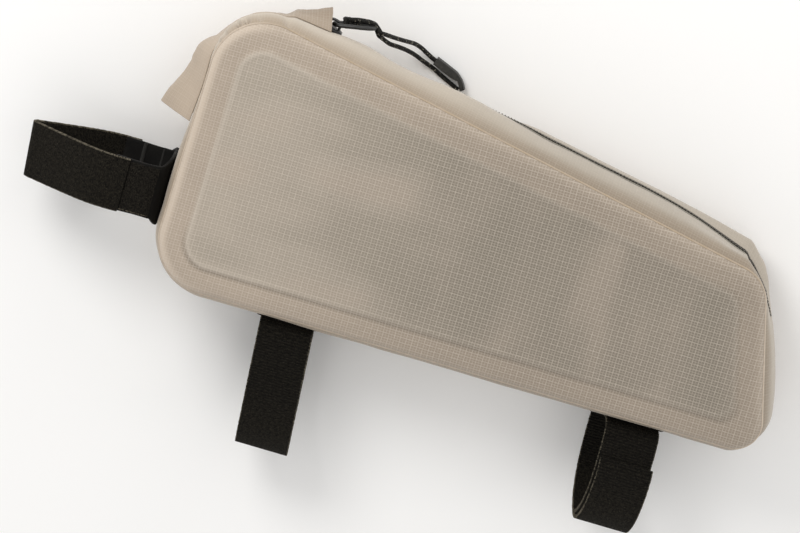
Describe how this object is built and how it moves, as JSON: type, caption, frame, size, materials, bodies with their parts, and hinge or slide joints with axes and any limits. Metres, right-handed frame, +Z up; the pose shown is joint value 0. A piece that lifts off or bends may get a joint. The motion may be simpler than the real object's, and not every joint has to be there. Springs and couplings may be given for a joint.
{
  "type": "top tube bag",
  "caption": "Slim bicycle frame bag of coated ripstop cloth with a zipped top, a hooded front corner and hook-and-loop strap loops at its front and base.",
  "frame": {"origin": "on the surface that the bag lies on, under the middle of its outline without the pull cord", "axes": "+X along the base toward the tail, +Y from the base to the zip, +Z up out of the upper side panel"},
  "size_m": [0.2942, 0.173, 0.05],
  "materials": {
    "ripstop_cloth": "coated cloth with a fine woven grid",
    "zip_tape": "woven tape",
    "zip_coil": "coil",
    "slider_metal": "black coated",
    "strap_pile": "loop pile webbing",
    "hook_tape": "hook tape",
    "smooth_base": "smooth coated",
    "anchor_cloth": "black coated cloth",
    "pull_cord": "braided cord with light flecks",
    "cord_end": "moulded"
  },
  "bodies": {
    "root": {"side_panel_near": "ripstop_cloth", "side_panel_far": "ripstop_cloth", "gusset": "ripstop_cloth", "hood": "ripstop_cloth", "zip_tape_near": "zip_tape", "zip_tape_far": "zip_tape", "zip_coil": "zip_coil", "slider_body": "slider_metal", "pull_tab": "slider_metal", "front_strap_base": "smooth_base", "front_hook_near": "hook_tape", "front_hook_far": "hook_tape", "front_strap": "strap_pile", "middle_strap": "strap_pile", "middle_strap_anchor": "anchor_cloth", "rear_strap": "strap_pile", "rear_strap_anchor": "anchor_cloth", "pull_cord_upper": "pull_cord", "pull_cord_lower": "pull_cord", "cord_end": "cord_end"}
  },
  "joints": []
}
